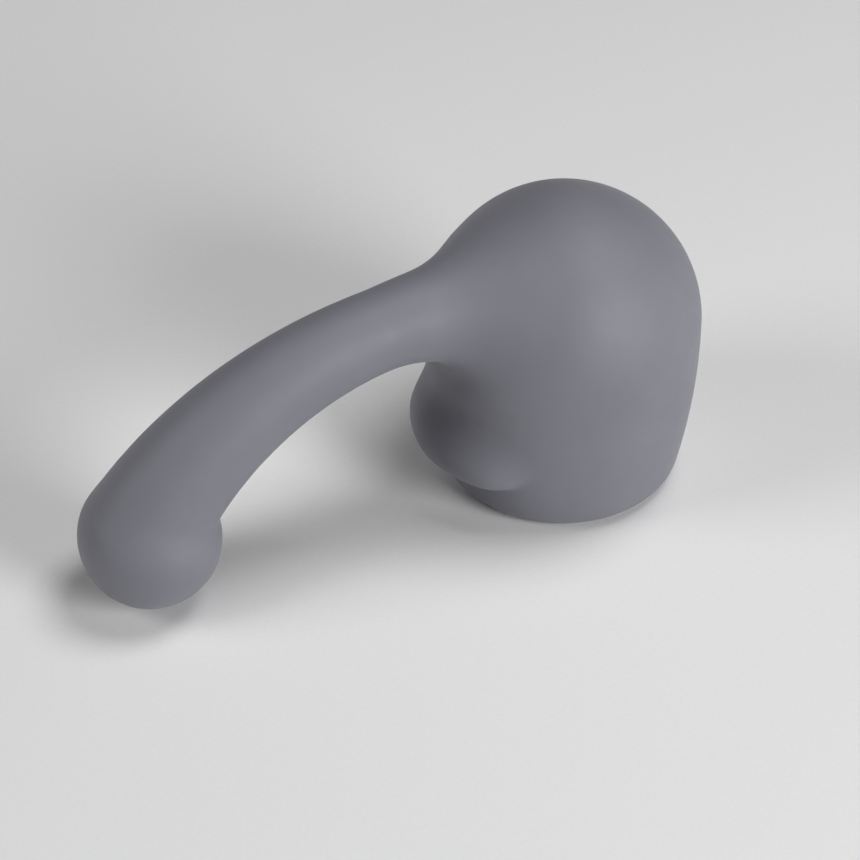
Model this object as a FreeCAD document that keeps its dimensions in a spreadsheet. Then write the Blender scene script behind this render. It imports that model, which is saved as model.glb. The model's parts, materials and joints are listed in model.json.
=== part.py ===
import FreeCAD, Part
import math
import os
import Sketcher

from FreeCAD import Placement, Rotation, Vector

# Arched silicone attachment that slips over the round head of a wand massager.
# Frame: millimetres, +Z up. The origin is the centre of the cap's mouth, on the plane that the cap
# stands on. The arm leaves the cap towards -X and lies in the XZ plane.

DRIVING_SIZES = {
    # cap: a dome on a gently arched wall that narrows towards the mouth
    "dome_radius": 34.5,
    "dome_height": 45.3,
    "wall_radius": 190.0,
    "wall_thickness": 5.2,
    "seat_radius": 25.2,
    "rim_rounding": 5.8,
    "cavity_floor": 7.0,
    "cavity_rounding": 6.0,
    "mouth_radius": 18.5,
    "mouth_edge": 0.8,
    # raised lip on the cap's front wall, under the arm
    "lip_centre_x": -20.4,
    "lip_centre_z": 21.0,
    "lip_reach": 19.8,
    "lip_half_width": 22.0,
    "lip_half_height": 15.6,
    # arm: its centre line is an arc about an axis parallel to Y
    "arc_x": -43.8,
    "arc_z": -26.0,
    "arc_radius": 86.0,
    "root_angle": -13.0,
    "neck_start": -3.0,
    "neck_end": 15.0,
    "arm_end": 58.0,
    "root_radius": 15.0,
    "neck_start_radius": 11.6,
    "neck_radius": 10.2,
    "neck_end_radius": 10.6,
    "arm_end_radius": 14.5,
    # bulb on the arm's end
    "bulb_x": -114.2,
    "bulb_radius": 17.6,
    # rod and ferrules through the neck
    "rod_radius": 2.5,
    "rod_start": -10.0,
    "rod_end": 22.0,
    "ferrule_radius": 4.0,
    "flange_radius": 5.6,
    "ferrule_length": 5.5,
    "flange_length": 1.2,
    "flange_inset": 0.5,
    "rod_inset_angle": 0.5,
    "rod_clearance": 0.02,
    # anchor dish inside the cap's wall
    "plate_inner_radius": 31.4,
    "plate_outer_radius": 33.2,
    "plate_half_angle": 24.0,
    "plate_tilt": 26.0,
    # stiff core of the arm
    "core_start": 16.5,
    "core_end": 57.0,
    "core_radius": 7.4,
    "channel_radius": 5.4,
    "channel_start": 24.0,
    "channel_end": 48.0,
    "cage_outer_radius": 14.4,
    "cage_inner_radius": 12.6,
    "boss_radius": 2.8,
    "boss_half_length": 6.7,
    "first_screw": 26.0,
    "last_screw": 44.0,
    # screws that close the core
    "screw_radius": 1.1,
    "screw_head_radius": 2.0,
    "screw_head_height": 1.4,
    "screw_tip": -5.6,
    "screw_seat": 5.0,
    "screw_clearance": 0.1,
    "seat_depth": 6.0,
    # ball in the bulb and its two cushion rings
    "ball_radius": 11.0,
    "cushion_gap": 0.05,
    "cushion_inner_angle": 35.0,
    "cushion_outer_angle": 55.0,
}
SCREW_COUNT = 3
ARM_SECTIONS = 6
ARM_SWELL = 1.4
FIRST_GUESS_RADIUS = 5.0
BELOW_MOUTH = 2.0
PARTING_MARGIN = 40.0
PARTING_DEPTH = 30.0

document = FreeCAD.newDocument("wand_attachment")
sheet = document.addObject("Spreadsheet::Sheet", "sizes")
for row, (alias, value) in enumerate(DRIVING_SIZES.items(), start=1):
    sheet.set(f"A{row}", alias)
    sheet.set(f"B{row}", str(value))
    sheet.setAlias(f"B{row}", alias)
document.recompute()


def size(alias):
    """A driving size's value."""
    return float(sheet.get(alias))


def arc_point(angle):
    """Point of the arm's centre line. The angle runs from the arc's top towards the bulb."""
    turn = math.radians(angle)
    x = size("arc_x") - size("arc_radius") * math.sin(turn)
    z = size("arc_z") + size("arc_radius") * math.cos(turn)
    return Vector(x, 0, z)


def origin_plane(body, role):
    """One of the body's own origin planes."""
    for feature in body.Origin.OriginFeatures:
        if feature.Role == role:
            return feature
    raise RuntimeError(f"{body.Label} has no {role}")


def new_body(label):
    body = document.addObject("PartDesign::Body", label)
    body.Label = label
    return body


def new_sketch(body, name, role="XZ_Plane", offset=None):
    sketch = body.newObject("Sketcher::SketchObject", name)
    sketch.AttachmentSupport = (origin_plane(body, role), [""])
    sketch.MapMode = "FlatFace"
    if offset is not None:
        sketch.AttachmentOffset = offset
    return sketch


def bind(sketch, kind, *arguments, name, expression):
    """Add a dimension to the sketch and bind it to the sheet."""
    index = sketch.addConstraint(Sketcher.Constraint(kind, *arguments))
    sketch.renameConstraint(index, name)
    sketch.setExpression(f"Constraints.{name}", expression)


def add_circle(sketch, name, centre, radius):
    """Circle whose radius is bound to an expression of the sheet."""
    start = Part.Circle(Vector(centre[0], centre[1], 0), Vector(0, 0, 1), FIRST_GUESS_RADIUS)
    index = sketch.addGeometry(start, False)
    bind(sketch, "Radius", index, FIRST_GUESS_RADIUS, name=name, expression=radius)
    x, y = centre
    if abs(x) > 1e-9:
        sketch.addConstraint(Sketcher.Constraint("DistanceX", -1, 1, index, 3, x))
    else:
        sketch.addConstraint(Sketcher.Constraint("PointOnObject", index, 3, -2))
    if abs(y) > 1e-9:
        sketch.addConstraint(Sketcher.Constraint("DistanceY", -1, 1, index, 3, y))
    else:
        sketch.addConstraint(Sketcher.Constraint("PointOnObject", index, 3, -1))
    return index


def section_offset(angle):
    """Places a YZ sketch square to the arm's centre line, centred on it."""
    point = arc_point(angle)
    return Placement(Vector(0, point.z, point.x), Rotation(Vector(1, 0, 0), -angle))


def arm_section(body, name, angle, radius):
    """Round section of the arm at an angle along its arc."""
    sketch = new_sketch(body, name, "YZ_Plane", section_offset(angle))
    add_circle(sketch, "radius", (0, 0), radius)
    return sketch


def loft_arm(body, name, stations):
    """Loft through round sections, given as (angle, radius expression) pairs."""
    sections = []
    for number, (angle, radius) in enumerate(stations):
        sections.append(arm_section(body, f"{name}_section_{number}", angle, radius))
    loft = body.newObject("PartDesign::AdditiveLoft", name)
    loft.Profile = sections[0]
    loft.Sections = sections[1:]
    loft.Ruled = False
    return loft


def arc_rod(body, name, start, end, radius, cut=False):
    """Round rod, or a bore, that follows the arm's arc between two angles."""
    sketch = new_sketch(body, f"{name}_ring", "YZ_Plane", section_offset(start))
    add_circle(sketch, "radius", (0, 0), radius)
    half = FIRST_GUESS_RADIUS
    drop = size("arc_radius")
    axis = sketch.addGeometry(Part.LineSegment(Vector(-half, -drop, 0), Vector(half, -drop, 0)), True)
    sketch.addConstraint(Sketcher.Constraint("Symmetric", axis, 1, axis, 2, -2))
    sketch.addConstraint(Sketcher.Constraint("DistanceX", axis, 1, axis, 2, 2 * half))
    bind(sketch, "DistanceY", axis, 1, -1, 1, drop, name="arc", expression="sizes.arc_radius")
    kind = "PartDesign::Groove" if cut else "PartDesign::Revolution"
    turn = body.newObject(kind, name)
    turn.Profile = sketch
    turn.ReferenceAxis = (sketch, ["Axis0"])
    turn.Angle = end - start
    turn.Reversed = True
    return turn


def wall_centre():
    """Centre of the wall's arc, which touches the dome's circle and the rim's circle inside."""
    dome = Vector(0, size("dome_height"), 0)
    rim = Vector(size("seat_radius"), size("rim_rounding"), 0)
    to_dome = size("wall_radius") - size("dome_radius")
    to_rim = size("wall_radius") - size("rim_rounding")
    span = (rim - dome).Length
    along = (to_dome**2 - to_rim**2 + span**2) / (2 * span)
    aside = math.sqrt(to_dome**2 - along**2)
    direction = (rim - dome) / span
    return dome + direction * along + Vector(direction.y, -direction.x, 0) * aside


def direction_angle(start, end):
    """Angle of the line from start to end."""
    return math.atan2(end.y - start.y, end.x - start.x)


def bell_pieces(inset, base, rounding):
    """Corner, wall and crown arcs of a bell inset from the cap's outside, and the corner's centre."""
    up = Vector(0, 0, 1)
    middle = wall_centre()
    wall_radius = size("wall_radius") - inset
    corner_z = base + rounding
    reach = math.sqrt((wall_radius - rounding) ** 2 - (corner_z - middle.y) ** 2)
    corner_centre = Vector(middle.x + reach, corner_z, 0)
    dome_centre = Vector(0, size("dome_height"), 0)
    low = direction_angle(middle, corner_centre)
    high = direction_angle(middle, dome_centre)
    corner = Part.ArcOfCircle(Part.Circle(corner_centre, up, rounding), -math.pi / 2, low)
    wall = Part.ArcOfCircle(Part.Circle(middle, up, wall_radius), low, high)
    dome_circle = Part.Circle(dome_centre, up, size("dome_radius") - inset)
    crown = Part.ArcOfCircle(dome_circle, high, math.pi / 2)
    return corner, wall, crown, corner_centre


def outer_cap_profile(sketch):
    """Half outline of the cap: flat seat, rounded rim, arched wall and dome."""
    dome = size("dome_radius")
    height = size("dome_height")
    rim = size("rim_rounding")
    corner_arc, wall_arc, crown_arc, corner_centre = bell_pieces(0, 0, rim)
    seat_line = Part.LineSegment(Vector(0, 0, 0), Vector(corner_centre.x, 0, 0))
    axis_line = Part.LineSegment(Vector(0, height + dome, 0), Vector(0, 0, 0))
    seat, corner, wall, crown, axis = (
        sketch.addGeometry(piece, False)
        for piece in (seat_line, corner_arc, wall_arc, crown_arc, axis_line)
    )
    for constraint in (
        ("Coincident", seat, 1, -1, 1),
        ("Coincident", axis, 2, -1, 1),
        ("Horizontal", seat),
        ("Vertical", axis),
        ("Tangent", seat, 2, corner, 1),
        ("Tangent", corner, 2, wall, 1),
        ("Tangent", wall, 2, crown, 1),
        ("Coincident", crown, 2, axis, 1),
        ("PointOnObject", crown, 3, -2),
    ):
        sketch.addConstraint(Sketcher.Constraint(*constraint))
    bind(sketch, "Radius", crown, dome, name="dome", expression="sizes.dome_radius")
    bind(sketch, "Radius", corner, rim, name="rim", expression="sizes.rim_rounding")
    bind(sketch, "Radius", wall, size("wall_radius"), name="wall", expression="sizes.wall_radius")
    bind(sketch, "DistanceY", -1, 1, crown, 3, height, name="height", expression="sizes.dome_height")
    bind(
        sketch, "DistanceX", -1, 1, corner, 3, corner_centre.x,
        name="seat", expression="sizes.seat_radius",
    )


def cavity_profile(sketch):
    """Half outline of the hollow: dome, arched wall, rounded floor and straight mouth."""
    thickness = size("wall_thickness")
    dome = size("dome_radius") - thickness
    wall_radius = size("wall_radius") - thickness
    height = size("dome_height")
    floor = size("cavity_floor")
    round_off = size("cavity_rounding")
    mouth = size("mouth_radius")
    edge = size("mouth_edge")
    corner_arc, wall_arc, crown_arc, corner_centre = bell_pieces(thickness, floor, round_off)
    edge_circle = Part.Circle(Vector(mouth + edge, edge, 0), Vector(0, 0, 1), edge)
    low_centre = Vector(0, -BELOW_MOUTH, 0)
    low_edge = Vector(mouth + edge, -BELOW_MOUTH, 0)
    geometry = (
        Part.LineSegment(Vector(0, height + dome, 0), low_centre),
        Part.LineSegment(low_centre, low_edge),
        Part.LineSegment(low_edge, Vector(mouth + edge, 0, 0)),
        Part.ArcOfCircle(edge_circle, math.pi, 1.5 * math.pi),
        Part.LineSegment(Vector(mouth, edge, 0), Vector(mouth, floor, 0)),
        Part.LineSegment(Vector(mouth, floor, 0), Vector(corner_centre.x, floor, 0)),
        corner_arc,
        wall_arc,
        crown_arc,
    )
    axis, base, side, lip, throat, ledge, corner, wall, crown = (
        sketch.addGeometry(piece, False) for piece in geometry
    )
    for constraint in (
        ("PointOnObject", axis, 1, -2),
        ("Vertical", axis),
        ("Coincident", axis, 2, base, 1),
        ("Horizontal", base),
        ("Coincident", base, 2, side, 1),
        ("Vertical", side),
        ("Coincident", side, 2, lip, 2),
        ("PointOnObject", lip, 2, -1),
        ("Tangent", lip, 1, throat, 1),
        ("Vertical", throat),
        ("Vertical", lip, 2, lip, 3),
        ("Coincident", throat, 2, ledge, 1),
        ("Horizontal", ledge),
        ("Tangent", ledge, 2, corner, 1),
        ("Tangent", corner, 2, wall, 1),
        ("Tangent", wall, 2, crown, 1),
        ("Coincident", crown, 2, axis, 1),
        ("PointOnObject", crown, 3, -2),
        ("DistanceY", base, 1, -1, 1, BELOW_MOUTH),
        ("DistanceX", -1, 1, corner, 3, corner_centre.x),
    ):
        sketch.addConstraint(Sketcher.Constraint(*constraint))
    bind(
        sketch, "Radius", crown, dome,
        name="dome", expression="sizes.dome_radius - sizes.wall_thickness",
    )
    bind(
        sketch, "Radius", wall, wall_radius,
        name="wall", expression="sizes.wall_radius - sizes.wall_thickness",
    )
    bind(sketch, "Radius", corner, round_off, name="corner", expression="sizes.cavity_rounding")
    bind(sketch, "Radius", lip, edge, name="edge", expression="sizes.mouth_edge")
    bind(sketch, "DistanceY", -1, 1, crown, 3, height, name="height", expression="sizes.dome_height")
    bind(sketch, "DistanceY", -1, 1, ledge, 1, floor, name="floor", expression="sizes.cavity_floor")
    bind(sketch, "DistanceX", -1, 1, throat, 1, mouth, name="mouth", expression="sizes.mouth_radius")


def revolve(body, name, sketch, axis="V_Axis", kind="PartDesign::Revolution"):
    """Full turn of a sketch about one of its axes."""
    turn = body.newObject(kind, name)
    turn.Profile = sketch
    turn.ReferenceAxis = (sketch, [axis])
    turn.Angle = 360.0
    return turn


def place_primitive(primitive, x, z):
    """Put a primitive's centre in the XZ plane, where expressions of the sheet say."""
    primitive.MapMode = "Deactivated"
    primitive.setExpression("Placement.Base.x", x)
    primitive.setExpression("Placement.Base.z", z)


def add_sphere(body, name, radius, kind="PartDesign::AdditiveSphere"):
    """Sphere about the bulb's centre."""
    sphere = body.newObject(kind, name)
    sphere.setExpression("Radius", radius)
    sphere.Angle1 = -90
    sphere.Angle2 = 90
    sphere.Angle3 = 360
    place_primitive(sphere, x="sizes.bulb_x", z="sizes.bulb_radius")
    return sphere


def cut(label, base, tools):
    """Base less its tools, as the sub-part called label."""
    if len(tools) == 1:
        tool = tools[0]
    else:
        tool = document.addObject("Part::MultiFuse", f"{label}_hollow")
        tool.Shapes = tools
    result = document.addObject("Part::Cut", label)
    result.Label = label
    result.Base = base
    result.Tool = tool
    return result


def gather(label, pieces):
    """Separate solids that share one node."""
    group = document.addObject("Part::Compound", label)
    group.Label = label
    group.Links = pieces
    return group


def make_cap_moulding():
    """Solid cap, the arm's root and the lip, then the hollow that takes the wand's head."""
    body = new_body("cap_moulding")
    outline = new_sketch(body, "cap_outline")
    outer_cap_profile(outline)
    revolve(body, "cap", outline)
    start = size("root_angle")
    end = size("neck_start")
    stations = [
        (start, "sizes.root_radius"),
        ((start + end) / 2, "0.5 * (sizes.root_radius + sizes.neck_start_radius)"),
        (end, "sizes.neck_start_radius"),
    ]
    loft_arm(body, "arm_root", stations)
    lip = body.newObject("PartDesign::AdditiveEllipsoid", "lip")
    lip.setExpression("Radius1", "sizes.lip_half_height")
    lip.setExpression("Radius2", "sizes.lip_reach")
    lip.setExpression("Radius3", "sizes.lip_half_width")
    lip.Angle1 = -90
    lip.Angle2 = 90
    lip.Angle3 = 360
    place_primitive(lip, x="sizes.lip_centre_x", z="sizes.lip_centre_z")
    document.recompute()
    hollow = new_sketch(body, "hollow_outline")
    cavity_profile(hollow)
    revolve(body, "hollow", hollow, kind="PartDesign::Groove")
    return body


def make_neck_moulding():
    """Bending zone of the arm, narrowest in its middle."""
    body = new_body("neck_moulding")
    start = size("neck_start")
    end = size("neck_end")
    stations = [
        (start, "sizes.neck_start_radius"),
        ((start + end) / 2, "sizes.neck_radius"),
        (end, "sizes.neck_end_radius"),
    ]
    loft_arm(body, "neck", stations)
    return body


def make_arm_moulding():
    """Arm that swells towards its end, and the bulb."""
    body = new_body("arm_moulding")
    start = size("neck_end")
    end = size("arm_end")
    stations = []
    for number in range(ARM_SECTIONS):
        share = number / (ARM_SECTIONS - 1)
        swell = share**ARM_SWELL
        radius = (
            f"sizes.neck_end_radius + {swell:.4f} * (sizes.arm_end_radius - sizes.neck_end_radius)"
        )
        stations.append((start + share * (end - start), radius))
    loft_arm(body, "arm", stations)
    add_sphere(body, "bulb", "sizes.bulb_radius")
    return body


def make_neck_rod():
    body = new_body("neck_rod")
    arc_rod(body, "rod", size("rod_start"), size("rod_end"), "sizes.rod_radius")
    return body


def make_ferrule(label, flange_first):
    """Sleeve with a flange on the end that is deeper in its holder."""
    body = new_body(label)
    per_degree = math.radians(1) * size("arc_radius")
    sleeve = size("ferrule_length") / per_degree
    flange = size("flange_length") / per_degree
    if flange_first:
        start = size("rod_start") + size("rod_inset_angle")
        flange_start = start
    else:
        start = size("rod_end") - size("rod_inset_angle") - sleeve
        flange_start = start + sleeve - flange - size("flange_inset") / per_degree
    end = start + sleeve
    arc_rod(body, f"{label}_sleeve", start, end, "sizes.ferrule_radius")
    arc_rod(
        body, f"{label}_flange", flange_start, flange_start + flange, "sizes.flange_radius"
    )
    arc_rod(
        body, f"{label}_bore", start - flange, end + flange,
        "sizes.rod_radius + sizes.rod_clearance", cut=True,
    )
    return body


def make_anchor_dish():
    """Dish about the dome's centre, tilted towards the arm's root."""
    body = new_body("anchor_dish")
    sketch = new_sketch(body, "dish_outline")
    inner = size("plate_inner_radius")
    outer = size("plate_outer_radius")
    centre = Vector(0, size("dome_height"), 0)
    axis_angle = math.pi - math.radians(size("plate_tilt"))
    edge_angle = axis_angle + math.radians(size("plate_half_angle"))

    def around(radius, angle):
        return centre + Vector(radius * math.cos(angle), radius * math.sin(angle), 0)

    up = Vector(0, 0, 1)
    axis = sketch.addGeometry(Part.LineSegment(centre, around(outer, axis_angle)), True)
    outer_arc = Part.ArcOfCircle(Part.Circle(centre, up, outer), axis_angle, edge_angle)
    inner_arc = Part.ArcOfCircle(Part.Circle(centre, up, inner), axis_angle, edge_angle)
    outside = sketch.addGeometry(outer_arc, False)
    inside = sketch.addGeometry(inner_arc, False)
    first = Part.LineSegment(around(inner, axis_angle), around(outer, axis_angle))
    last = Part.LineSegment(around(inner, edge_angle), around(outer, edge_angle))
    middle = sketch.addGeometry(first, False)
    edge = sketch.addGeometry(last, False)
    for constraint in (
        ("PointOnObject", axis, 1, -2),
        ("Coincident", outside, 3, axis, 1),
        ("Coincident", inside, 3, axis, 1),
        ("Coincident", axis, 2, outside, 1),
        ("Coincident", middle, 2, outside, 1),
        ("Coincident", middle, 1, inside, 1),
        ("PointOnObject", inside, 1, axis),
        ("Coincident", edge, 2, outside, 2),
        ("Coincident", edge, 1, inside, 2),
    ):
        sketch.addConstraint(Sketcher.Constraint(*constraint))
    bind(sketch, "Radius", outside, outer, name="outer", expression="sizes.plate_outer_radius")
    bind(sketch, "Radius", inside, inner, name="inner", expression="sizes.plate_inner_radius")
    bind(
        sketch, "DistanceY", -1, 1, axis, 1, centre.y,
        name="height", expression="sizes.dome_height",
    )
    revolve(body, "dish", sketch, axis="Axis0")
    return body


def make_core_envelope():
    """Outside of the closed core: the space that the arm's cover leaves for it."""
    body = new_body("core_envelope")
    arc_rod(body, "envelope_tube", size("core_start"), size("core_end"), "sizes.core_radius")
    add_sphere(body, "envelope_cage", "sizes.cage_outer_radius")
    return body


def screw_angles():
    first = size("first_screw")
    last = size("last_screw")
    return [first + (last - first) * number / (SCREW_COUNT - 1) for number in range(SCREW_COUNT)]


def circles_along_arm(body, name, radius, offset=None):
    """One circle at each screw, drawn square to the Y axis."""
    sketch = new_sketch(body, name, "XZ_Plane", offset)
    for number, angle in enumerate(screw_angles()):
        point = arc_point(angle)
        add_circle(sketch, f"radius_{number}", (point.x, point.z), radius)
    return sketch


def make_core_half(label, side):
    """Half shell of the core. Side is -1 for the front (-Y) half and +1 for the back half."""
    body = new_body(label)
    arc_rod(body, f"{label}_tube", size("core_start"), size("core_end"), "sizes.core_radius")
    add_sphere(body, f"{label}_cage", "sizes.cage_outer_radius")
    arc_rod(
        body, f"{label}_channel", size("channel_start"), size("channel_end"),
        "sizes.channel_radius", cut=True,
    )
    bosses = circles_along_arm(body, f"{label}_boss_rings", "sizes.boss_radius")
    posts = body.newObject("PartDesign::Pad", f"{label}_bosses")
    posts.Profile = bosses
    posts.Midplane = True
    posts.setExpression("Length", "2 * sizes.boss_half_length")
    add_sphere(
        body, f"{label}_ball_space", "sizes.cage_inner_radius", "PartDesign::SubtractiveSphere"
    )
    hole = "sizes.screw_radius" if side < 0 else "sizes.screw_radius + sizes.screw_clearance"
    holes = circles_along_arm(body, f"{label}_hole_rings", hole)
    bore = body.newObject("PartDesign::Pocket", f"{label}_holes")
    bore.Profile = holes
    bore.Midplane = True
    bore.setExpression("Length", "2 * (sizes.screw_clearance - sizes.screw_tip)")
    if side > 0:
        seat = Placement(Vector(0, 0, -size("screw_seat")), Rotation())
        rings = circles_along_arm(
            body, f"{label}_seat_rings", "sizes.screw_head_radius + sizes.screw_clearance", seat
        )
        seats = body.newObject("PartDesign::Pocket", f"{label}_seats")
        seats.Profile = rings
        seats.setExpression("Length", "sizes.seat_depth")
    outline = new_sketch(body, f"{label}_parting")
    low = Vector(size("bulb_x") - PARTING_MARGIN, -PARTING_MARGIN, 0)
    high = Vector(0, size("arc_radius"), 0)
    corners = [low, Vector(high.x, low.y, 0), high, Vector(low.x, high.y, 0)]
    for number, corner in enumerate(corners):
        after = corners[(number + 1) % len(corners)]
        outline.addGeometry(Part.LineSegment(corner, after), False)
    for number in range(len(corners)):
        after = (number + 1) % len(corners)
        outline.addConstraint(Sketcher.Constraint("Coincident", number, 2, after, 1))
    other = body.newObject("PartDesign::Pocket", f"{label}_other_side")
    other.Profile = outline
    other.Length = PARTING_DEPTH
    other.Reversed = side > 0
    return body


def make_screw(number, angle):
    """Screw along Y: its head is on the back (+Y) side."""
    body = new_body(f"screw_{number}")
    point = arc_point(angle)
    offset = Placement(Vector(point.x, 0, point.z), Rotation())
    sketch = new_sketch(body, f"screw_{number}_outline", "XY_Plane", offset)
    shank = size("screw_radius")
    head = size("screw_head_radius")
    tip = size("screw_tip")
    seat = size("screw_seat")
    top = seat + size("screw_head_height")
    corners = [
        Vector(0, tip, 0),
        Vector(shank, tip + shank, 0),
        Vector(shank, seat, 0),
        Vector(head, seat, 0),
        Vector(head, top, 0),
        Vector(0, top, 0),
    ]
    for index, corner in enumerate(corners):
        after = corners[(index + 1) % len(corners)]
        sketch.addGeometry(Part.LineSegment(corner, after), False)
    for index in range(len(corners)):
        sketch.addConstraint(
            Sketcher.Constraint("Coincident", index, 2, (index + 1) % len(corners), 1)
        )
    last = len(corners) - 1
    for constraint in (
        ("PointOnObject", 0, 1, -2),
        ("Vertical", 1),
        ("Horizontal", 2),
        ("Vertical", 3),
        ("Horizontal", 4),
        ("Vertical", last),
        ("Angle", 0, math.pi / 4),
    ):
        sketch.addConstraint(Sketcher.Constraint(*constraint))
    bind(sketch, "DistanceX", -1, 1, 2, 1, shank, name="shank", expression="sizes.screw_radius")
    bind(sketch, "DistanceX", -1, 1, 2, 2, head, name="head", expression="sizes.screw_head_radius")
    bind(sketch, "DistanceY", -1, 1, 2, 1, seat, name="seat", expression="sizes.screw_seat")
    bind(sketch, "DistanceY", 0, 1, -1, 1, -tip, name="tip", expression="-sizes.screw_tip")
    bind(
        sketch, "DistanceY", 3, 1, 3, 2, top - seat,
        name="head_height", expression="sizes.screw_head_height",
    )
    revolve(body, f"screw_{number}_turned", sketch)
    return body


def make_ball():
    body = new_body("tip_weight")
    add_sphere(body, "ball", "sizes.ball_radius")
    return body


def make_cushion(side):
    """Ring between the ball and the cage, about an axis parallel to Y."""
    name = "cushion_back" if side > 0 else "cushion_front"
    body = new_body(name)
    sketch = new_sketch(body, f"{name}_outline", "XY_Plane")
    sketch.AttachmentOffset = Placement(Vector(size("bulb_x"), 0, size("bulb_radius")), Rotation())
    inner = size("ball_radius") + size("cushion_gap")
    outer = size("cage_inner_radius") - size("cushion_gap")
    near = math.radians(90 - size("cushion_outer_angle"))
    far = math.radians(90 - size("cushion_inner_angle"))
    if side < 0:
        near, far = -far, -near
    centre = Vector(0, 0, 0)
    up = Vector(0, 0, 1)

    def around(radius, angle):
        return Vector(radius * math.cos(angle), radius * math.sin(angle), 0)

    outside = sketch.addGeometry(Part.ArcOfCircle(Part.Circle(centre, up, outer), near, far), False)
    inside = sketch.addGeometry(Part.ArcOfCircle(Part.Circle(centre, up, inner), near, far), False)
    start = sketch.addGeometry(Part.LineSegment(around(inner, near), around(outer, near)), False)
    end = sketch.addGeometry(Part.LineSegment(around(inner, far), around(outer, far)), False)
    for constraint in (
        ("Coincident", outside, 3, -1, 1),
        ("Coincident", inside, 3, -1, 1),
        ("Coincident", start, 2, outside, 1),
        ("Coincident", start, 1, inside, 1),
        ("Coincident", end, 2, outside, 2),
        ("Coincident", end, 1, inside, 2),
    ):
        sketch.addConstraint(Sketcher.Constraint(*constraint))
    bind(
        sketch, "Radius", outside, outer,
        name="outer", expression="sizes.cage_inner_radius - sizes.cushion_gap",
    )
    bind(
        sketch, "Radius", inside, inner,
        name="inner", expression="sizes.ball_radius + sizes.cushion_gap",
    )
    revolve(body, f"{name}_turned", sketch)
    return body


neck_rod = make_neck_rod()
cup_ferrule = make_ferrule("cup_ferrule", flange_first=True)
arm_ferrule = make_ferrule("arm_ferrule", flange_first=False)
anchor_plate = cut("anchor_plate", make_anchor_dish(), [cup_ferrule, neck_rod])
cup_cover = cut("cup_cover", make_cap_moulding(), [anchor_plate, cup_ferrule, neck_rod])
neck_cover = cut("neck_cover", make_neck_moulding(), [neck_rod])
arm_cover = cut("arm_cover", make_arm_moulding(), [make_core_envelope(), neck_rod])
ends = [arm_ferrule, neck_rod]
core_half_left = cut("core_half_left", make_core_half("left_shell", -1), ends)
core_half_right = cut("core_half_right", make_core_half("right_shell", 1), ends)
core_screws = gather(
    "core_screws", [make_screw(number, angle) for number, angle in enumerate(screw_angles(), 1)]
)
tip_weight = make_ball()
weight_cushions = gather("weight_cushions", [make_cushion(-1), make_cushion(1)])
document.recompute()

SUB_PARTS = [
    cup_cover,
    neck_cover,
    arm_cover,
    anchor_plate,
    cup_ferrule,
    neck_rod,
    arm_ferrule,
    core_half_left,
    core_half_right,
    core_screws,
    tip_weight,
    weight_cushions,
]

failed = [
    item.Label for item in document.Objects if "Invalid" in item.State or "Error" in item.State
]
if failed:
    raise RuntimeError(f"failed objects: {failed}")
for part in SUB_PARTS:
    if part.Shape.isNull() or not part.Shape.isValid() or not part.Shape.Solids:
        raise RuntimeError(f"{part.Label} has no valid shape")

os.makedirs("parts", exist_ok=True)
for part in SUB_PARTS:
    part.Shape.exportStep(f"parts/{part.Label}.step")
    print(f"{part.Label}: {part.Shape.Volume:.1f} mm3, {len(part.Shape.Solids)} solids")
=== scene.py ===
import json
import math

import bpy
import numpy as np
from mathutils import Matrix, Vector


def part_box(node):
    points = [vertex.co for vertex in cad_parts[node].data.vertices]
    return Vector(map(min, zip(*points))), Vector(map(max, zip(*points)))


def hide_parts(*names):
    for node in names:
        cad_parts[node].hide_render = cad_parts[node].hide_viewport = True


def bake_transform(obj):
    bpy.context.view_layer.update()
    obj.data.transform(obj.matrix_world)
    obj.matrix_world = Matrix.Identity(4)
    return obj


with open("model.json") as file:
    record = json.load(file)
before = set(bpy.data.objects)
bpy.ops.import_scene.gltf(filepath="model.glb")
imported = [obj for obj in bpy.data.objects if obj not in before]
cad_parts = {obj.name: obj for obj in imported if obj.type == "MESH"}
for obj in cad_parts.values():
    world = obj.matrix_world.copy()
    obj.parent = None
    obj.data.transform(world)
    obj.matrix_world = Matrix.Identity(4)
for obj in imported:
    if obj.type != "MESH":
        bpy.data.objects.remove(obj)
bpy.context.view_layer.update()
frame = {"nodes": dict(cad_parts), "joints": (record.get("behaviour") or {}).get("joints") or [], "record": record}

# An arched silicone attachment for a wand massager. Metres, in the CAD row frame: +Z up, the cap's
# mouth about the origin, the arm towards -X in the XZ plane.


# ---------------------------------------------------------------- places and sizes from the frame

def mount(name):
    return next(m for m in frame["record"]["mounts"] if m["name"] == name)


CAP_LOW, CAP_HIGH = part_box("cup_cover")
ARM_LOW, ARM_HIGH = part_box("arm_cover")
ROD_LOW, ROD_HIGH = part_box("neck_rod")
PIVOT = Vector(frame["joints"][0]["pos_m"])

DOME_RADIUS = CAP_HIGH.y
DOME_HEIGHT = CAP_HIGH.z - DOME_RADIUS
MOUTH_RADIUS = mount("mouth")["dims"]["r_mm"] / 1000
BULB_RADIUS = ARM_HIGH.y
BULB_CENTRE = Vector((ARM_LOW.x + BULB_RADIUS, 0, BULB_RADIUS))
ROD_RADIUS = ROD_HIGH.y

# the arm's centre line: an arc about an axis parallel to Y, through the joint
ARC_RADIUS = 0.0860
PIVOT_ANGLE = math.radians(6)
ARC_X = PIVOT.x + ARC_RADIUS * math.sin(PIVOT_ANGLE)
ARC_Z = PIVOT.z - ARC_RADIUS * math.cos(PIVOT_ANGLE)

# cap: the wall is a large arc that touches the dome's circle and the rim's
WALL_RADIUS = 0.190
SEAT_RADIUS = 0.0252
RIM_ROUNDING = 0.0058
WALL_THICKNESS = 0.0052
CAVITY_FLOOR = 0.007
CAVITY_ROUNDING = 0.006
CAVITY_EDGE_ROUNDING = 0.003
MOUTH_EDGE_ROUNDING = 0.002

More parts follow.
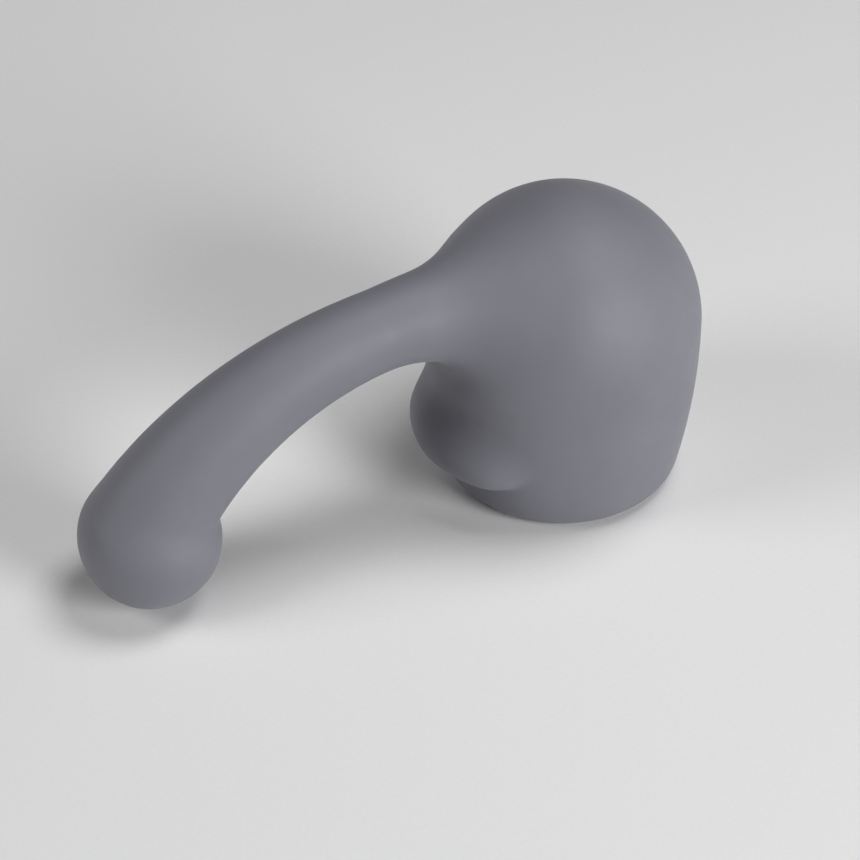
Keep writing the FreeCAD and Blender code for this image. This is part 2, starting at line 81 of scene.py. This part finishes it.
# arm: angles are measured along the arc from its highest point, positive towards the tip. The radius
# is least at the neck, swells towards the tip and flares towards the root, most on the underside.
# The blends are the widths of the soft fold into the dome. BLEND_BESIDE is added at the arm's sides.
ROOT_ANGLE = math.radians(-14)
ARM_END_ANGLE = math.radians(57.4)
NECK_RADIUS = 0.0102
NARROWEST_ANGLE = math.radians(6)
SWELL_SPAN = math.radians(54.2)
ARM_SWELL = 0.0056
SWELL_POWER = 1.44
FLARE_START_ANGLE = math.radians(5)
FLARE_SPAN = math.radians(20)
FLARE_ABOVE = 0.0030
FLARE_ABOVE_POWER = 1.2
FLARE_BELOW = 0.0084
FLARE_BELOW_POWER = 1.8
BLEND_ABOVE = 0.0135
BLEND_BESIDE = 0.0014
BLEND_BELOW = 0.0052
BULB_BLEND = 0.0015

# raised lip on the cap's front wall: an ellipsoid with pointed, drooping ends, soft above and with a
# crease below. LIP_RISE stretches its upper half. LIP_DROOP and LIP_SAG bend its upper and its lower
# half down towards the ends, in 1 / metre. LIP_BLEND_TURN sets how fast the crease turns soft.
FRONT_LIP = Vector((-0.0263, 0, 0.0195))
FRONT_LIP_HALF = Vector((0.0140, 0.0222, 0.0107))
LIP_POINT_POWER = 1.33
LIP_POINT_START = 0.006
LIP_RISE = 1.12
LIP_DROOP = 3.4
LIP_SAG = 4.2
LIP_BLEND_ABOVE = 0.0060
LIP_BLEND_BELOW = 0.0008
LIP_BLEND_TURN = 0.9

# the skin's mesh: the size of a face, and a number that keeps divisions off zero
SKIN_STEP = 0.0009
TINY = 1e-9

# the silicone's two pigment shades
SILICONE_DARK = (0.178, 0.178, 0.2085, 1)
SILICONE_LIGHT = (0.190, 0.190, 0.2225, 1)

# neck rod
ROD_CHAMFER = 0.0004
ROD_RINGS = 48
ROD_SIDES = 40

# the photo's viewpoint: azimuth turns about +Z from the -Y side
VIEW_AZIMUTH = math.radians(-26.92)
VIEW_ELEVATION = math.radians(40.74)
VIEW_TARGET = Vector((-0.03759, 0, 0.02226))
VIEW_DISTANCE = 0.8021
LENS_MM = 133.45
SENSOR_MM = 36
CLIP_START = 0.01

# studio: each light has the right and up parts of its direction, as the camera sees it, and its
# power in watts. The world fades from pale to black between two heights of the view direction.
LIGHT_TARGET = Vector((-0.045, 0, 0.038))
LIGHT_DISTANCE = 1.3
LIGHT_SIZE = 0.65
LIGHTS = {
    "key": (0.70, -0.10, 12.8),
    "top": (0.32, 0.78, 7.6),
    "fill": (-0.78, 0.32, 5.0),
}
FLOOR_HALF = 1.6
HORIZON_BRIGHTNESS = 0.35
HORIZON_START = 0.08
HORIZON_STOP = 0.14


# ---------------------------------------------------------------- the skin's shape

def smooth_union(a, b, width):
    """Union of two distance fields with a soft blend of the given width."""
    overlap = np.maximum(width - np.abs(a - b), 0) / width
    return np.minimum(a, b) - overlap * overlap * width / 4


def smooth_cut(body, tool, width):
    """Body less tool, with a rounded edge."""
    return -smooth_union(-body, tool, width)


def wall_centre():
    """Centre (r, z) of the wall's arc."""
    dome = np.array((0, DOME_HEIGHT))
    rim = np.array((SEAT_RADIUS, RIM_ROUNDING))
    span = np.linalg.norm(rim - dome)
    from_dome = WALL_RADIUS - DOME_RADIUS
    from_rim = WALL_RADIUS - RIM_ROUNDING
    along = (from_dome**2 - from_rim**2 + span**2) / (2 * span)
    aside = math.sqrt(from_dome**2 - along**2)
    direction = (rim - dome) / span
    return dome + along * direction + aside * np.array((direction[1], -direction[0]))


WALL_R, WALL_Z = wall_centre()


def bell(p, inset, base, rounding):
    """Dome, arched wall and rounded foot about the Z axis, inset from the cap's outside."""
    r = np.hypot(p[..., 0], p[..., 1])
    z = p[..., 2]
    wall_radius = WALL_RADIUS - inset
    foot_z = base + rounding
    foot_r = WALL_R + math.sqrt((wall_radius - rounding) ** 2 - (foot_z - WALL_Z) ** 2)
    top = math.atan2(DOME_HEIGHT - WALL_Z, -WALL_R)
    bottom = math.atan2(foot_z - WALL_Z, foot_r - WALL_R)
    angle = np.arctan2(z - WALL_Z, r - WALL_R)
    dome = np.hypot(r, z - DOME_HEIGHT) - (DOME_RADIUS - inset)
    wall = np.maximum(np.hypot(r - WALL_R, z - WALL_Z) - wall_radius, base - z)
    foot = np.where(r > foot_r, np.hypot(r - foot_r, z - foot_z) - rounding, base - z)
    return np.where(angle > top, dome, np.where(angle < bottom, foot, wall))


def arched_arm(p):
    """Distance to the arm, and how far a point is towards its outer side, from -1 to 1."""
    x = p[..., 0] - ARC_X
    z = p[..., 2] - ARC_Z
    angle = np.clip(np.arctan2(-x, z), ROOT_ANGLE, ARM_END_ANGLE)
    across = np.hypot(x + ARC_RADIUS * np.sin(angle), z - ARC_RADIUS * np.cos(angle))
    distance = np.hypot(across, p[..., 1])
    outward = np.hypot(x, z) - ARC_RADIUS
    above = (1 + np.clip(outward / (distance + TINY), -1, 1)) / 2
    swell = np.clip((angle - NARROWEST_ANGLE) / SWELL_SPAN, 0, 1)
    flare = np.maximum(FLARE_START_ANGLE - angle, 0) / FLARE_SPAN
    radius = (
        NECK_RADIUS
        + ARM_SWELL * swell**SWELL_POWER
        + FLARE_ABOVE * flare**FLARE_ABOVE_POWER * above
        + FLARE_BELOW * flare**FLARE_BELOW_POWER * (1 - above)
    )
    return distance - radius, np.clip(outward / radius, -1, 1)


def smooth_step(share):
    share = np.clip(share, 0, 1)
    return share * share * (3 - 2 * share)


def lip_width(y):
    """Share of the lip's half width, squared: sharper towards its ends than an ellipse."""
    start = LIP_POINT_START**LIP_POINT_POWER
    full = (FRONT_LIP_HALF.y**2 + LIP_POINT_START**2) ** (LIP_POINT_POWER / 2)
    return ((y**2 + LIP_POINT_START**2) ** (LIP_POINT_POWER / 2) - start) / (full - start)


def front_lip(p):
    """Distance to the lip, and how far a point is towards its top, from -1 to 1."""
    half = np.array(FRONT_LIP_HALF)
    across = (p[..., 0] - FRONT_LIP.x) / half[0]
    along = lip_width(p[..., 1])
    raised = (p[..., 2] - FRONT_LIP.z) / half[2]
    top = smooth_step(0.5 + raised)
    bend = p[..., 1] ** 2 * (LIP_DROOP * top + LIP_SAG * (1 - top))
    raised = (raised + bend / half[2]) / (1 + (LIP_RISE - 1) * top)
    reach = np.sqrt(across**2 + along + raised**2) + TINY
    slope = np.sqrt((across / half[0]) ** 2 + along / half[1] ** 2 + (raised / half[2]) ** 2) + TINY
    return reach * (reach - 1) / slope, raised / reach


def hollow(p):
    """The space for the wand's head, and its mouth."""
    cavity = bell(p, WALL_THICKNESS, CAVITY_FLOOR, CAVITY_ROUNDING)
    throat = np.hypot(p[..., 0], p[..., 1]) - MOUTH_RADIUS
    throat = np.maximum(throat, p[..., 2] - DOME_HEIGHT)
    return smooth_union(cavity, throat, CAVITY_EDGE_ROUNDING)


def skin(p):
    """Signed distance to the whole silicone moulding."""
    cap = bell(p, 0, 0, RIM_ROUNDING)
    lip, upper = front_lip(p)
    share = smooth_step(0.5 + LIP_BLEND_TURN * upper)
    lip_blend = LIP_BLEND_BELOW + (LIP_BLEND_ABOVE - LIP_BLEND_BELOW) * share
    cap = smooth_union(cap, lip, lip_blend)
    arm, side = arched_arm(p)
    blend = BLEND_BELOW + (BLEND_ABOVE - BLEND_BELOW) * (side + 1) / 2
    blend = blend + BLEND_BESIDE * (1 - side**2) ** 2
    outside = smooth_union(cap, arm, blend)
    bulb = np.linalg.norm(p - np.array(BULB_CENTRE), axis=-1) - BULB_RADIUS
    outside = smooth_union(outside, bulb, BULB_BLEND)
    return smooth_cut(outside, hollow(p), MOUTH_EDGE_ROUNDING)


# ---------------------------------------------------------------- from a distance field to a mesh

def gradient(field, points, reach=2e-5):
    """Unit normals of a distance field, with its slope."""
    parts = []
    for axis in range(3):
        shift = np.zeros(3)
        shift[axis] = reach
        parts.append(field(points + shift) - field(points - shift))
    slope = np.stack(parts, axis=-1) / (2 * reach)
    size = np.linalg.norm(slope, axis=-1, keepdims=True) + TINY
    return slope / size, size[..., 0]


def settle(field, points, rounds=2):
    """Move points onto the field's surface."""
    for _ in range(rounds):
        normal, size = gradient(field, points)
        step = np.clip(field(points) / size, -SKIN_STEP, SKIN_STEP)
        points = points - normal * step[:, None]
    return points


def surface_net(field, low, high, step):
    """Closed quad mesh of a distance field: one vertex in each cell that the surface crosses."""
    axes = [np.arange(low[i], high[i] + step, step) for i in range(3)]
    inside = np.stack([
        field(np.stack(np.meshgrid((x,), axes[1], axes[2], indexing="ij"), -1))[0] < 0
        for x in axes[0]
    ])
    corners = sum(
        inside[i:i + inside.shape[0] - 1, j:j + inside.shape[1] - 1, k:k + inside.shape[2] - 1]
        .astype(np.int8)
        for i in (0, 1) for j in (0, 1) for k in (0, 1)
    )
    crossed = (corners > 0) & (corners < 8)
    index = np.full(crossed.shape, -1)
    index[crossed] = np.arange(crossed.sum())
    cells = np.argwhere(crossed)
    points = np.array([a[0] for a in axes]) + (cells + 0.5) * step
    faces = []
    for axis in range(3):
        second, third = (axis + 1) % 3, (axis + 2) % 3
        here = np.moveaxis(inside, (axis, second, third), (0, 1, 2))
        cell = np.moveaxis(index, (axis, second, third), (0, 1, 2))
        change = here[1:, 1:-1, 1:-1] != here[:-1, 1:-1, 1:-1]
        leaving = here[:-1, 1:-1, 1:-1][change]
        i, j, k = np.argwhere(change).T
        quads = np.stack(
            (cell[i, j, k], cell[i, j + 1, k], cell[i, j + 1, k + 1], cell[i, j, k + 1]), 1
        )
        quads[~leaving] = quads[~leaving][:, ::-1]
        faces.append(quads)
    return points, np.concatenate(faces)


def even_out(field, points, faces, rounds, share=0.6):
    """Slide vertices along the surface, part of the way to the middle of their neighbours."""
    edges = np.concatenate([faces[:, (i, (i + 1) % 4)] for i in range(4)])
    edges = np.unique(np.sort(edges, axis=1), axis=0)
    count = np.bincount(edges.ravel(), minlength=len(points))[:, None]
    for _ in range(rounds):
        total = np.zeros_like(points)
        for axis in range(3):
            total[:, axis] = (
                np.bincount(edges[:, 0], points[edges[:, 1], axis], len(points))
                + np.bincount(edges[:, 1], points[edges[:, 0], axis], len(points))
            )
        points = settle(field, points + share * (total / count - points), rounds=1)
    return points


def mesh_object(name, points, faces, material):
    """New object with one material. Its four-sided faces are shaded smooth, all others flat."""
    mesh = bpy.data.meshes.new(name)
    mesh.from_pydata(points, [], faces)
    mesh.update()
    mesh.polygons.foreach_set("use_smooth", [len(face.vertices) == 4 for face in mesh.polygons])
    mesh.materials.append(material)
    piece = bpy.data.objects.new(name, mesh)
    bpy.context.scene.collection.objects.link(piece)
    return piece


# ---------------------------------------------------------------- materials

def new_material(name):
    material = bpy.data.materials.new(name)
    material.use_nodes = True
    nodes = material.node_tree.nodes
    return material, nodes, material.node_tree.links, nodes["Principled BSDF"]


def noise(nodes, links, where, scale, detail=2.0, stretch=None):
    """Noise in the object's own coordinates. Scale is in waves per metre."""
    texture = nodes.new("ShaderNodeTexNoise")
    texture.inputs["Scale"].default_value = scale
    texture.inputs["Detail"].default_value = detail
    if stretch is None:
        links.new(where.outputs["Object"], texture.inputs["Vector"])
    else:
        mapping = nodes.new("ShaderNodeMapping")
        mapping.inputs["Scale"].default_value = stretch
        links.new(where.outputs["Object"], mapping.inputs["Vector"])
        links.new(mapping.outputs["Vector"], texture.inputs["Vector"])
    return texture


def ramp(nodes, links, source, low, high, start=0.3, stop=0.7):
    """Spread a 0 to 1 signal between two colours."""
    colours = nodes.new("ShaderNodeValToRGB")
    colours.color_ramp.elements[0].position = start
    colours.color_ramp.elements[1].position = stop
    colours.color_ramp.elements[0].color = low
    colours.color_ramp.elements[1].color = high
    links.new(source, colours.inputs["Fac"])
    return colours


def grey(value):
    return (value, value, value, 1)


def bump(nodes, links, height, strength, distance, below=None):
    node = nodes.new("ShaderNodeBump")
    node.inputs["Strength"].default_value = strength
    node.inputs["Distance"].default_value = distance
    links.new(height, node.inputs["Height"])
    if below is not None:
        links.new(below.outputs["Normal"], node.inputs["Normal"])
    return node


def silicone():
    """Satin slate silicone: fine moulded grain, cloudy pigment, a dusty bloom at grazing angles."""
    material, nodes, links, shader = new_material("silicone")
    where = nodes.new("ShaderNodeTexCoord")
    cloud = noise(nodes, links, where, scale=55, detail=3)
    colour = ramp(nodes, links, cloud.outputs["Fac"], SILICONE_DARK, SILICONE_LIGHT)
    links.new(colour.outputs["Color"], shader.inputs["Base Color"])
    smear = noise(nodes, links, where, scale=260, detail=4)
    rough = ramp(nodes, links, smear.outputs["Fac"], grey(0.54), grey(0.62))
    links.new(rough.outputs["Color"], shader.inputs["Roughness"])
    grain = noise(nodes, links, where, scale=5200)
    fine = bump(nodes, links, grain.outputs["Fac"], strength=0.12, distance=0.00006)
    wave = noise(nodes, links, where, scale=420, detail=1)
    both = bump(nodes, links, wave.outputs["Fac"], strength=0.10, distance=0.00012, below=fine)
    links.new(both.outputs["Normal"], shader.inputs["Normal"])
    shader.inputs["Specular IOR Level"].default_value = 0.42
    shader.inputs["Sheen Weight"].default_value = 0.10
    shader.inputs["Sheen Roughness"].default_value = 0.45
    return material


def plastic(name, dark, light, roughness, grain_scale, spread=0.06):
    """Moulded plastic with a fine spark-eroded grain."""
    material, nodes, links, shader = new_material(name)
    where = nodes.new("ShaderNodeTexCoord")
    cloud = noise(nodes, links, where, scale=180, detail=3)
    colour = ramp(nodes, links, cloud.outputs["Fac"], dark, light)
    links.new(colour.outputs["Color"], shader.inputs["Base Color"])
    grain = noise(nodes, links, where, grain_scale)
    rough = ramp(nodes, links, grain.outputs["Fac"], grey(roughness - spread), grey(roughness + spread))
    links.new(rough.outputs["Color"], shader.inputs["Roughness"])
    moulded = bump(nodes, links, grain.outputs["Fac"], strength=0.3, distance=0.00008)
    links.new(moulded.outputs["Normal"], shader.inputs["Normal"])
    return material


def metal(name, dark, light, roughness, stretch, spread=0.08):
    """Machined metal. Its fine marks run along the axes where stretch is least."""
    material, nodes, links, shader = new_material(name)
    where = nodes.new("ShaderNodeTexCoord")
    lines = noise(nodes, links, where, scale=900, detail=3, stretch=stretch)
    colour = ramp(nodes, links, lines.outputs["Fac"], dark, light)
    links.new(colour.outputs["Color"], shader.inputs["Base Color"])
    rough = ramp(nodes, links, lines.outputs["Fac"], grey(roughness - spread), grey(roughness + spread))
    links.new(rough.outputs["Color"], shader.inputs["Roughness"])
    cut = bump(nodes, links, lines.outputs["Fac"], strength=0.25, distance=0.00003)
    links.new(cut.outputs["Normal"], shader.inputs["Normal"])
    shader.inputs["Metallic"].default_value = 1.0
    return material


def cushion_rubber():
    """Soft black rubber with a dull, dusty surface."""
    material, nodes, links, shader = new_material("cushion_rubber")
    where = nodes.new("ShaderNodeTexCoord")
    bloom = noise(nodes, links, where, scale=240, detail=4)
    colour = ramp(nodes, links, bloom.outputs["Fac"], grey(0.022), grey(0.040))
    links.new(colour.outputs["Color"], shader.inputs["Base Color"])
    rough = ramp(nodes, links, bloom.outputs["Fac"], grey(0.70), grey(0.85))
    links.new(rough.outputs["Color"], shader.inputs["Roughness"])
    grain = noise(nodes, links, where, scale=2600)
    moulded = bump(nodes, links, grain.outputs["Fac"], strength=0.3, distance=0.0001)
    links.new(moulded.outputs["Normal"], shader.inputs["Normal"])
    return material


def black_nylon():
    return plastic(
        "black_nylon",
        dark=(0.030, 0.030, 0.033, 1),
        light=(0.055, 0.055, 0.060, 1),
        roughness=0.52,
        grain_scale=2400,
    )


def natural_nylon():
    return plastic(
        "natural_nylon",
        dark=(0.62, 0.60, 0.53, 1),
        light=(0.70, 0.68, 0.62, 1),
        roughness=0.38,
        grain_scale=1500,
    )


def turned_steel():
    return metal("turned_steel", grey(0.46), grey(0.62), roughness=0.34, stretch=(1, 1, 14))


def ground_steel():
    return metal("ground_steel", grey(0.58), grey(0.68), roughness=0.18, stretch=(1, 1, 1))


def zinc_plated_steel():
    return metal(
        "zinc_steel",
        dark=(0.50, 0.51, 0.54, 1),
        light=(0.64, 0.65, 0.67, 1),
        roughness=0.40,
        stretch=(1, 8, 1),
    )


# ---------------------------------------------------------------- pieces

def make_skin():
    """One seamless skin over the cap, the neck and the arm."""
    margin = 3 * SKIN_STEP
    low = [min(CAP_LOW[i], ARM_LOW[i]) - margin for i in range(3)]
    high = [max(CAP_HIGH[i], ARM_HIGH[i]) + margin for i in range(3)]
    points, faces = surface_net(skin, low, high, SKIN_STEP)
    points = settle(skin, points, rounds=3)
    points = even_out(skin, points, faces, rounds=8)
    points = settle(skin, points)
    piece = mesh_object("silicone_skin", points.tolist(), faces.tolist(), silicone())
    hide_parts("cup_cover", "neck_cover", "arm_cover")
    return piece


def arc_place(angle):
    return Vector((ARC_X - ARC_RADIUS * math.sin(angle), 0, ARC_Z + ARC_RADIUS * math.cos(angle)))


def make_rod(material):
    """Nylon rod with chamfered ends, along the neck's arc."""
    start = math.asin((ARC_X - ROD_HIGH.x) / ARC_RADIUS)
    end = math.asin((ARC_X - ROD_LOW.x) / ARC_RADIUS)
    chamfer_angle = ROD_CHAMFER / ARC_RADIUS
    full_angle = end - start - 2 * chamfer_angle
    stations = [(start, ROD_RADIUS - ROD_CHAMFER)]
    stations += [
        (start + chamfer_angle + full_angle * i / (ROD_RINGS - 1), ROD_RADIUS)
        for i in range(ROD_RINGS)
    ]
    stations.append((end, ROD_RADIUS - ROD_CHAMFER))
    points = []
    for angle, radius in stations:
        out = Vector((-math.sin(angle), 0, math.cos(angle)))
        for i in range(ROD_SIDES):
            turn = 2 * math.pi * i / ROD_SIDES
            spoke = out * math.cos(turn) + Vector((0, 1, 0)) * math.sin(turn)
            points.append(arc_place(angle) + spoke * radius)
    first_end = tuple(reversed(range(ROD_SIDES)))
    last_end = tuple(range(len(points) - ROD_SIDES, len(points)))
    faces = []
    for ring in range(len(stations) - 1):
        for i in range(ROD_SIDES):
            a = ring * ROD_SIDES + i
            b = ring * ROD_SIDES + (i + 1) % ROD_SIDES
            faces.append((a, b, b + ROD_SIDES, a + ROD_SIDES))
    piece = mesh_object("neck_rod_bent", points, faces + [first_end, last_end], material)
    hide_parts("neck_rod")
    return piece


def finish_inner_parts():
    """Materials of the CAD parts inside the skin."""
    nylon = black_nylon()
    steel = turned_steel()
    looks = {
        "anchor_plate": nylon,
        "core_half_left": nylon,
        "core_half_right": nylon,
        "cup_ferrule": steel,
        "arm_ferrule": steel,
        "core_screws": zinc_plated_steel(),
        "tip_weight": ground_steel(),
        "weight_cushions": cushion_rubber(),
    }
    for node, material in looks.items():
        for slot in frame["nodes"][node].material_slots:
            slot.material = material


# ---------------------------------------------------------------- floor, light and camera

def stage_material():
    """Plain pale studio paper."""
    material, nodes, links, shader = new_material("studio_paper")
    where = nodes.new("ShaderNodeTexCoord")
    fibre = noise(nodes, links, where, scale=900, detail=3)
    colour = ramp(nodes, links, fibre.outputs["Fac"], grey(0.79), grey(0.81))
    links.new(colour.outputs["Color"], shader.inputs["Base Color"])
    shader.inputs["Roughness"].default_value = 0.9
    return material


def make_floor():
    corners = [(x * FLOOR_HALF, y * FLOOR_HALF, 0) for x, y in ((-1, -1), (1, -1), (1, 1), (-1, 1))]
    mesh_object("floor", corners, [(0, 1, 2, 3)], stage_material())


def aim(lamp, target):
    """Turn a light towards a point."""
    away = lamp.location - target
    lamp.rotation_euler = away.to_track_quat("Z", "Y").to_euler()


def area_light(name, place, power):
    light = bpy.data.lights.new(name, "AREA")
    light.shape = "DISK"
    light.size = LIGHT_SIZE
    light.energy = power
    lamp = bpy.data.objects.new(name, light)
    lamp.location = place
    aim(lamp, LIGHT_TARGET)
    bpy.context.scene.collection.objects.link(lamp)


def view_axes():
    """Right, up and back of the camera, in the row frame."""
    back = Vector((
        math.sin(VIEW_AZIMUTH) * math.cos(VIEW_ELEVATION),
        -math.cos(VIEW_AZIMUTH) * math.cos(VIEW_ELEVATION),
        math.sin(VIEW_ELEVATION),
    ))
    right = Vector((math.cos(VIEW_AZIMUTH), math.sin(VIEW_AZIMUTH), 0))
    return right, back.cross(right), back


def dim_world():
    """Black overhead, and pale up to just above the horizon: the backdrop of low views."""
    world = bpy.data.worlds.new("studio")
    world.use_nodes = True
    nodes = world.node_tree.nodes
    links = world.node_tree.links
    where = nodes.new("ShaderNodeTexCoord")
    parts = nodes.new("ShaderNodeSeparateXYZ")
    links.new(where.outputs["Generated"], parts.inputs["Vector"])
    pale = grey(HORIZON_BRIGHTNESS)
    band = ramp(nodes, links, parts.outputs["Z"], pale, grey(0), HORIZON_START, HORIZON_STOP)
    links.new(band.outputs["Color"], nodes["Background"].inputs["Color"])
    bpy.context.scene.world = world
    bpy.context.scene.view_settings.view_transform = "Standard"


def light_scene():
    """Three soft lights: a low key at the camera's right, one high above, a fill at its left."""
    right, up, back = view_axes()
    for name, (aside, above, power) in LIGHTS.items():
        towards = math.sqrt(1 - aside**2 - above**2)
        direction = right * aside + up * above + back * towards
        area_light(name, LIGHT_TARGET + direction * LIGHT_DISTANCE, power)


def place_camera():
    data = bpy.data.cameras.new("camera")
    data.sensor_width = SENSOR_MM
    data.lens = LENS_MM
    data.clip_start = CLIP_START
    camera = bpy.data.objects.new("camera", data)
    right, up, back = view_axes()
    turn = Matrix((right, up, back)).transposed().to_4x4()
    camera.matrix_world = Matrix.Translation(VIEW_TARGET + back * VIEW_DISTANCE) @ turn
    bpy.context.scene.collection.objects.link(camera)
    bpy.context.scene.camera = camera


# ---------------------------------------------------------------- build

silicone_skin = make_skin()
rod = make_rod(natural_nylon())
for piece in (silicone_skin, rod):
    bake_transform(piece)
finish_inner_parts()

make_floor()
dim_world()
light_scene()
place_camera()
